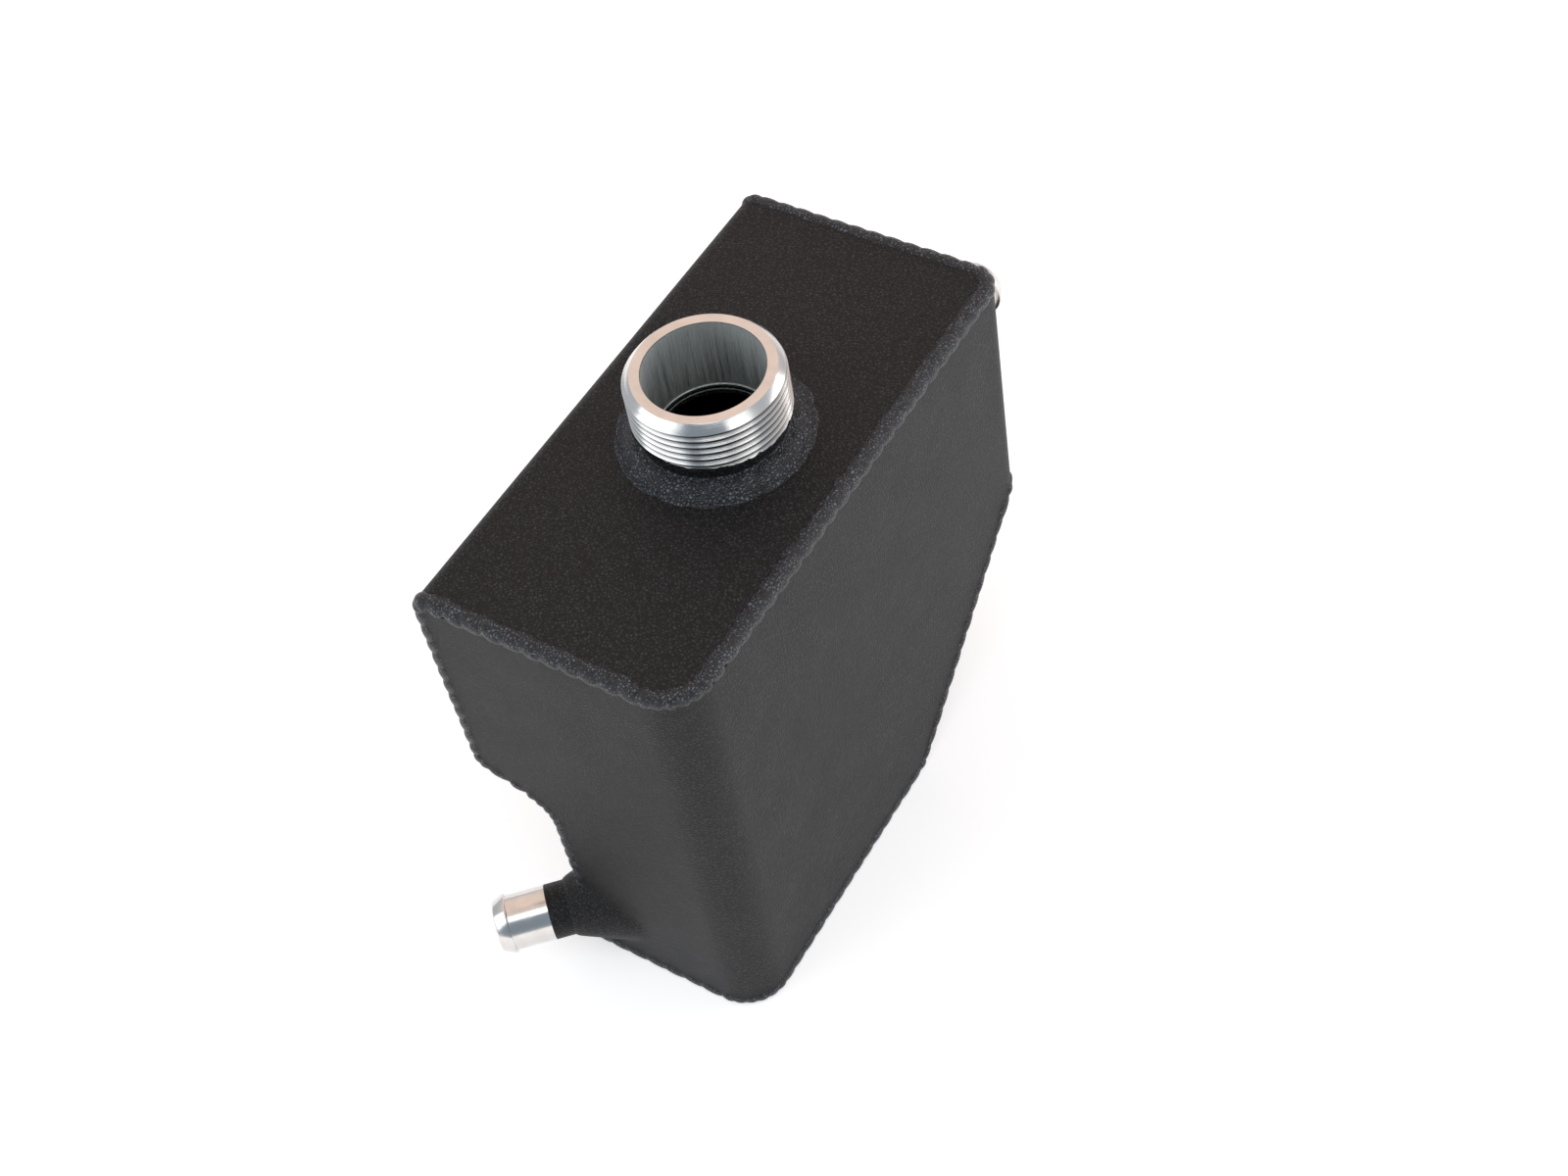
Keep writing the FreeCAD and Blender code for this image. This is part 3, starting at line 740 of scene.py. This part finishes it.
class TANK_OT_lay_beads(bpy.types.Operator):
    """Lay a rippled bead in every open corner of the sheets"""

    bl_idname = "tank.lay_beads"
    bl_label = "Lay the Weld Beads"

    def execute(self, context):
        beads = context.scene.weld_beads
        scale = weld_scale(beads)
        hand = random.Random(7)
        for node, stretches in bead_runs().items():
            ripples = []
            for points, face in stretches:
                reach = beads.squeeze if len(points) > 2 else 1
                for spot, along in places_along(points, beads.pitch * reach):
                    ripple = copy_of(scale, f"{node}_ripple")
                    # a ripple trails no further than the bead's own roundness past its run
                    room = (spot - points[0]).length + beads.crest
                    trail = min(reach, room / beads.tail)
                    size = hand.uniform(0.96, 1)
                    ripple.matrix_world = (
                        in_line(spot, along, outwards(spot, along, face))
                        @ Matrix.Rotation(beads.lean + hand.uniform(-0.07, 0.07), 4, "Z")
                        @ Matrix.Diagonal((trail * hand.uniform(0.96, 1.03), size, size, 1))
                    )
                    ripples.append(ripple)
            bead = joined(f"{node}_bead", ripples)
            melt(bead, beads.voxel, passes=3)
            if min(vertex.co.z for vertex in bead.data.vertices) < CLEAR_OF_FLOOR:
                trim(bead, (0, 0, CLEAR_OF_FLOOR), DOWN)
            smooth(bead, 60)
            dress(bead, weld_coat())
            finish_piece(bead, "wrinkle_coat", node)
        drop(scale)
        return {"FINISHED"}


class TANK_OT_lay_fillets(bpy.types.Operator):
    """Lay the welds round the neck and both hose barbs"""

    bl_idname = "tank.lay_fillets"
    bl_label = "Lay the Round Welds"

    def execute(self, context):
        scale = ball("round_weld_scale", 1 * MM)
        select_where(scale, lambda co: co.y < 0)
        bpy.ops.transform.resize(value=(1, 1.3, 1), center_override=(0, 0, 0))
        put_down()
        welds = {
            "filler_neck_weld": self.round_neck(context.scene, scale),
            "front_barb_weld": self.round_front_barb(context.scene),
            "rear_barb_weld": self.round_rear_barb(context.scene, scale),
        }
        drop(scale)
        for node, weld in welds.items():
            smooth(weld, 60)
            # the coat lies as smooth on the barbs' welds as on the sheets
            dress(weld, weld_coat() if "neck" in node else sheet_coat())
            finish_piece(weld, "wrinkle_coat", node)
        return {"FINISHED"}

    def ring(self, name, scale, inner, outer, rise, ripples, size):
        """A ripple-edged fillet round a tube at the origin, on a washer of the sheet under it.

        The washer melts into the fillet, so its toe runs out softly, and then sinks
        just under the sheet. A ripple reaches size millimetres down the fillet's slope
        from its middle, and is wider than that round the tube.
        """
        bite, apron, thick, toe = 0.6 * MM, 5 * MM, 1.5 * MM, 0.8 * MM
        washer = turn_on_lathe(name, [
            (inner - bite, -thick),
            (outer + apron, -thick),
            (outer + apron, 0),
            (outer - toe, 0),
            # the fillet's face is a little hollow
            (inner + (outer - inner) * 0.35, rise * 0.5),
            (inner - bite, rise),
        ], 96)
        hand = random.Random(3)
        slope = math.atan2(rise, outer - inner)
        middle = Matrix.Translation(((inner + outer) / 2, 0, rise * 0.33))
        wider, height = 1.3, 1.5
        parts = [washer]
        for k in range(ripples):
            ripple = copy_of(scale, "round_ripple")
            turn = math.tau * (k + hand.uniform(-0.12, 0.12)) / ripples
            ripple.matrix_world = (
                Matrix.Rotation(turn, 4, "Z")
                @ middle
                @ Matrix.Rotation(slope, 4, "Y")
                @ Matrix.Rotation(hand.uniform(0.05, 0.3), 4, "Z")
                @ Matrix.Diagonal((size * hand.uniform(0.95, 1.05), size * wider, height, 1))
            )
            parts.append(ripple)
        fillet = joined(name, parts)
        melt(fillet, 0.45 * MM, passes=5)
        modify(fillet, "DISPLACE", strength=-0.06 * MM, mid_level=0)
        return fillet

    def round_neck(self, scene, scale):
        neck = scene.filler_neck
        low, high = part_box("filler_neck_weld")
        fillet = self.ring(
            "filler_neck_fillet", scale, inner=neck.waist, outer=high.x, rise=high.z - low.z,
            ripples=neck.ripples, size=4.4,
        )
        fillet.location.z = scene.folded_body.top
        settle(fillet)
        return fillet

    def round_rear_barb(self, scene, scale):
        tube = scene.hose_barbs.tube
        fillet = self.ring(
            "rear_barb_fillet", scale, inner=tube, outer=tube + 3.4 * MM, rise=4.2 * MM,
            ripples=11, size=2.4,
        )
        fillet.location, _ = barb_seats()["rear"]
        fillet.rotation_euler = (scene.folded_body.lean - math.pi / 2, 0, 0)
        settle(fillet)
        return fillet

    def round_front_barb(self, scene):
        """The weld at the corner, melted together with the two walls that it runs out on.

        It is a cone that narrows towards the barb, with a patch of each wall.
        """
        barb = scene.hose_barbs
        body = scene.folded_body
        corner, axis = barb_seats()["front"]
        turn = UP.rotation_difference(axis).to_euler()
        mouth, depth, flare = 5.5 * MM, 26 * MM, 0.36
        throat = barb.tube + 0.6 * MM
        put_down()
        bpy.ops.mesh.primitive_cone_add(
            vertices=64, radius1=throat + depth * flare, radius2=throat, depth=depth,
            location=corner + axis * (mouth - depth / 2), rotation=turn,
        )
        parts = [named("front_barb_fillet")]
        low, high = 3.5 * MM, 44 * MM
        right_end, rear_end = 9 * MM, -66 * MM
        thick, gap = 2 * MM, 1 * MM
        walls = (
            ((body.lower + gap, right_end), (body.front, body.front + thick)),
            ((body.lower, body.lower + thick), (body.front + gap, rear_end)),
        )
        for across, back in walls:
            put_down()
            bpy.ops.mesh.primitive_cube_add(
                size=1, location=(sum(across) / 2, sum(back) / 2, (low + high) / 2),
                scale=(across[1] - across[0], back[1] - back[0], high - low),
            )
            parts.append(named("wall_patch"))
        fillet = joined("front_barb_fillet", parts)
        # so many passes draw the hollows between cone and walls out to wide soft curves
        melt(fillet, 0.5 * MM, passes=110)
        # the patches sink just under the walls, so only the weld shows
        modify(fillet, "DISPLACE", strength=-0.07 * MM, mid_level=0)
        put_down()
        inside_tube = barb.tube - 0.3 * MM
        bpy.ops.mesh.primitive_cylinder_add(
            vertices=64, radius=inside_tube, depth=80 * MM, location=corner, rotation=turn
        )
        drill = named("barb_drill")
        modify(fillet, "BOOLEAN", operation="DIFFERENCE", object=drill, solver="EXACT")
        drop(drill)
        return fillet


class TANK_OT_turn_neck(bpy.types.Operator):
    """Turn the filler neck and cut its thread"""

    bl_idname = "tank.turn_neck"
    bl_label = "Turn the Filler Neck"

    def execute(self, context):
        neck = context.scene.filler_neck
        top = context.scene.folded_body.top
        # broken edges, the eased rim of the bore, the cone up to the thread, the foot's step
        edge, eased, cone, foot = 0.1 * MM, 0.4 * MM, 1.5 * MM, 0.3 * MM
        # a little more than the thread's crests, so that the cut leaves them their size
        spare = 0.02 * MM
        blank = turn_on_lathe("filler_neck_bare", [
            (neck.bore, 0.35 * MM),
            (neck.bore - foot, 0.05 * MM),
            (neck.bore - foot, 0),
            (neck.waist, 0),
            (neck.waist, neck.bare - cone),
            (neck.crest + spare, neck.bare),
            (neck.crest + spare, neck.chamfer),
            (neck.face + edge, neck.rim - edge),
            (neck.face - 0.05 * MM, neck.rim),
            (neck.bore + eased, neck.rim),
            (neck.bore + edge, neck.rim - edge),
            (neck.bore, neck.rim - eased),
        ], 160)
        thread = self.threaded_bar(neck)
        modify(blank, "BOOLEAN", operation="INTERSECT", object=thread, solver="EXACT")
        drop(thread)
        face_outwards(blank)
        # the coat's skin starts inside the metal and ends just past the masking line
        hidden, over_crest, start = neck.waist - 0.2 * MM, neck.crest + 0.04 * MM, 1 * MM
        coat = turn_on_lathe("filler_neck_coat", [
            (hidden, start),
            (neck.waist + neck.film, start),
            (neck.waist + neck.film, neck.bare - cone),
            (over_crest, neck.bare - 0.15 * MM),
            (over_crest, neck.bare + edge),
            (hidden, neck.bare + edge),
        ], 160)
        # a masked edge is never quite even, so the coat's last edge wanders a little
        select_where(coat, lambda co: co.z > neck.bare and co.xy.length > neck.crest)
        bpy.ops.transform.vertex_random(offset=0.3 * MM, normal=0.2, seed=5)
        # the bright edge of the hole in the sheet: it stands just proud of the cut
        proud, rooted = neck.hole - 0.06 * MM, neck.hole + 0.1 * MM
        lip = turn_on_lathe("filler_hole_lip", [
            (proud, -1.6 * MM),
            (rooted, -1.6 * MM),
            (rooted, -1 * MM),
            (proud, -1.2 * MM),
        ], 160)
        for piece in (blank, coat, lip):
            piece.location.z = top
            settle(piece)
            smooth(piece, 30)
        dress(lip, bore_metal())
        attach(lip, "root")
        dress(blank, neck_metal(), bore_metal())
        for face in blank.data.polygons:
            within = face.center.xy.length < neck.bore + 0.05 * MM
            if within and face.center.z < top + neck.rim - eased:
                face.material_index = 1
        dress(coat, sheet_coat())
        finish_piece(blank, "bare_aluminium", "filler_neck")
        finish_piece(coat, "wrinkle_coat", "filler_neck")
        return {"FINISHED"}

    def threaded_bar(self, neck):
        """A bar with the thread cut on it, longer than the neck at both ends."""
        put_down()
        # one turn's profile, each corner's height as a share of the pitch
        corners = [
            (neck.crest, 0), (neck.crest, 0.1), (neck.root, 0.51), (neck.root, 0.59),
            (neck.crest, 1),
        ]
        last = len(corners) - 1
        spare, spare_turns = 1 * MM, 2
        below = (neck.start / math.tau - spare_turns) * neck.pitch
        bpy.ops.mesh.primitive_circle_add(
            vertices=len(corners), radius=1 * MM, location=(0, 0, 0)
        )
        bar = named("threaded_bar")
        for vertex, (radius, share) in zip(bar.data.vertices, corners):
            vertex.co = (radius, 0, share * neck.pitch + below)
        pick_up(bar)
        bpy.ops.object.mode_set(mode="EDIT")
        bpy.ops.mesh.select_all(action="DESELECT")
        bpy.ops.object.mode_set(mode="OBJECT")
        # the profile is open: the circle's edge from its last corner to its first goes
        for edge in bar.data.edges:
            edge.select = set(edge.vertices) == {0, last}
        bpy.ops.object.mode_set(mode="EDIT")
        bpy.ops.mesh.select_mode(type="EDGE")
        bpy.ops.mesh.delete(type="EDGE")
        bpy.ops.mesh.select_mode(type="VERT")
        put_down()
        turns = math.ceil(neck.rim / neck.pitch) + 2 * spare_turns
        steps = 144
        modify(bar, "SCREW", axis="Z", angle=math.tau, screw_offset=neck.pitch, iterations=turns,
               steps=steps, render_steps=steps, use_merge_vertices=True,
               merge_threshold=SAME_SPOT)
        face_outwards(bar)
        for height, normal in ((-spare, DOWN), (neck.rim + spare, UP)):
            trim(bar, (0, 0, height), normal)
        face_outwards(bar)
        return bar


class TANK_OT_turn_barbs(bpy.types.Operator):
    """Turn both hose barbs and coat their roots"""

    bl_idname = "tank.turn_barbs"
    bl_label = "Turn the Hose Barbs"

    def execute(self, context):
        barb = context.scene.hose_barbs
        seats = barb_seats()
        ends = (
            ("front", barb.front_inside, barb.front_reach, barb.front_bare),
            ("rear", barb.rear_inside, barb.rear_reach, barb.rear_bare),
        )
        for end, inside, reach, bare in ends:
            spot, direction = seats[end]
            step = reach - barb.lead
            ridge = barb.tube + barb.ridge
            tip = ridge - barb.taper
            broken = 0.2 * MM
            metal = turn_on_lathe(f"{end}_barb_bare", [
                (barb.bore, -inside),
                (barb.tube, -inside),
                (barb.tube, step),
                # the ridge's step, with a rounded crest
                (ridge - 0.12 * MM, step + 0.02 * MM),
                (ridge, step + 0.16 * MM),
                (ridge - 0.05 * MM, step + 0.7 * MM),
                # the tip, rounded over outside and broken at the bore
                (tip + 0.25 * MM, reach - 0.5 * MM),
                (tip, reach - 0.12 * MM),
                (tip - broken, reach),
                (barb.bore + broken, reach),
                (barb.bore, reach - 0.3 * MM),
            ], 96)
            hidden, film, start = barb.tube - 0.2 * MM, barb.tube + 0.12 * MM, -2 * MM
            coat = turn_on_lathe(f"{end}_barb_coat", [
                (hidden, start),
                (film, start),
                (film, bare - 0.1 * MM),
                (barb.tube + 0.04 * MM, bare),
                (hidden, bare),
            ], 96)
            turn = UP.rotation_difference(direction).to_euler()
            for piece in (metal, coat):
                piece.location = spot
                piece.rotation_euler = turn
                settle(piece)
                smooth(piece, 35)
            dress(metal, finish_of(
                f"turned_{end}_barb_aluminium", turned_aluminium, spot=spot, turn=turn
            ))
            dress(coat, sheet_coat())
            finish_piece(metal, "bare_aluminium", f"{end}_hose_barb")
            finish_piece(coat, "wrinkle_coat", f"{end}_hose_barb")
        return {"FINISHED"}


class TANK_OT_set_stage(bpy.types.Operator):
    """Set the pale floor, the soft lamps, the surroundings and the camera"""

    bl_idname = "tank.set_stage"
    bl_label = "Set the Stage"

    def execute(self, context):
        look = context.scene.stage_look
        put_down()
        bpy.ops.mesh.primitive_plane_add(size=8, location=(0, 0, 0))
        floor = named("floor")
        floor.data.materials.append(self.paper(look))
        self.surroundings(context.scene, look)
        tank_middle = Vector((0, 0, 0.09))
        # name, place, size in metres, power in watts, tint
        lamps = (
            ("front_left_softbox", (-0.87, -1.04, 0.94), 1.3, 7, (0.92, 0.96, 1.0)),
            ("right_softbox", (1.13, -0.3, 1.18), 0.7, 2, (1.0, 1.0, 1.0)),
            ("overhead_softbox", (0.27, -0.5, 1.6), 0.6, 2, (1.0, 1.0, 1.0)),
            ("rear_right_softbox", (1.1, 1.1, 0.42), 0.9, 7, (0.97, 0.98, 1.0)),
        )
        for name, place, size, power, tint in lamps:
            bpy.ops.object.light_add(type="AREA", location=place)
            lamp = bpy.context.object
            lamp.name = name
            lamp.data.size = size
            lamp.data.energy = power
            lamp.data.color = tint
            aim = tank_middle - Vector(place)
            lamp.rotation_euler = aim.to_track_quat("-Z", "Y").to_euler()
        bpy.ops.object.camera_add(
            location=look.camera_place, rotation=Euler(look.camera_turn)
        )
        camera = bpy.context.object
        camera.name = "photo_camera"
        camera.data.lens = 50
        camera.data.sensor_width = 36
        camera.data.sensor_fit = "HORIZONTAL"
        camera.data.clip_start = 0.01
        context.scene.camera = camera
        context.scene.view_settings.view_transform = "Standard"
        return {"FINISHED"}

    def paper(self, look):
        """White background paper: matt, and lit to white where the camera or metal sees it."""
        material, tree, place = new_material("background_paper")
        # the pulp's tooth is drawn about 1 mm across
        tooth = bump(tree, noise(tree, place, 900, 3), 0.05 * MM, strength=0.3)
        matt = put(tree, "ShaderNodeBsdfDiffuse", {
            "Color": (*look.floor, 1), "Roughness": 0.5, "Normal": tooth,
        })
        rays = put(tree, "ShaderNodeLightPath").outputs
        seen = rays["Is Camera Ray"]
        for ray in ("Is Glossy Ray", "Is Transmission Ray"):
            seen = maths(tree, "MAXIMUM", seen, rays[ray])
        # what the lamps leave to reach white
        to_white = 0.54
        lift = maths(tree, "MULTIPLY", seen, to_white)
        glow = put(tree, "ShaderNodeEmission", {"Color": (1, 1, 1, 1), "Strength": lift})
        both = put(tree, "ShaderNodeAddShader", {
            0: matt.outputs["BSDF"], 1: glow.outputs["Emission"],
        })
        put(tree, "ShaderNodeOutputMaterial", {"Surface": both.outputs["Shader"]})
        return material

    def surroundings(self, scene, look):
        """A pale room with a warm ceiling over its rear and a dark end in front."""
        scene.world = bpy.data.worlds.new("room")
        scene.world.use_nodes = True
        tree = scene.world.node_tree
        tree.nodes.clear()
        way = put(tree, "ShaderNodeTexCoord").outputs["Generated"]
        tint = (*look.walls, 1)
        # each patch fades in between the cosines of its edge and its core
        for shade, towards, edge, core in (
            (look.ceiling, look.ceiling_way, 0.5, 0.9),
            (look.far_end, look.far_end_way, 0.74, 0.92),
        ):
            aside = put(tree, "ShaderNodeVectorMath", {
                0: way, 1: Vector(towards).normalized(),
            }, operation="DOT_PRODUCT")
            share = to_range(tree, aside.outputs["Value"], edge, core,
                             interpolation_type="SMOOTHSTEP")
            tint = blend(tree, share, tint, (*shade, 1))
        glow = put(tree, "ShaderNodeBackground", {"Color": tint, "Strength": 1.0})
        put(tree, "ShaderNodeOutputWorld", {"Surface": glow.outputs["Background"]})


OPERATORS = (
    TANK_OT_coat_sheets,
    TANK_OT_lay_beads,
    TANK_OT_lay_fillets,
    TANK_OT_turn_neck,
    TANK_OT_turn_barbs,
    TANK_OT_set_stage,
)
GROUPS = {
    "folded_body": FoldedBody,
    "weld_beads": WeldBeads,
    "filler_neck": FillerNeck,
    "hose_barbs": HoseBarbs,
    "finishes": Finishes,
    "stage_look": Stage,
}


class TANK_PT_panel(bpy.types.Panel):
    """Sizes, colours and steps of the coolant tank"""

    bl_label = "Coolant Tank"
    bl_space_type = "VIEW_3D"
    bl_region_type = "UI"
    bl_category = "Tank"

    def draw(self, context):
        for operator in OPERATORS:
            self.layout.operator(operator.bl_idname)
        for key, group in GROUPS.items():
            box = self.layout.box()
            box.label(text=key.replace("_", " ").capitalize())
            for size in group.__annotations__:
                box.prop(getattr(context.scene, key), size)


def register():
    for cls in (*GROUPS.values(), *OPERATORS, TANK_PT_panel):
        bpy.utils.register_class(cls)
    for key, group in GROUPS.items():
        setattr(bpy.types.Scene, key, PointerProperty(type=group))


def unregister():
    for key in GROUPS:
        delattr(bpy.types.Scene, key)
    for cls in (TANK_PT_panel, *reversed(OPERATORS), *reversed(GROUPS.values())):
        bpy.utils.unregister_class(cls)


def main():
    register()
    bpy.ops.tank.coat_sheets()
    bpy.ops.tank.lay_beads()
    bpy.ops.tank.lay_fillets()
    bpy.ops.tank.turn_neck()
    bpy.ops.tank.turn_barbs()
    bpy.ops.tank.set_stage()


if __name__ == "__main__":
    main()
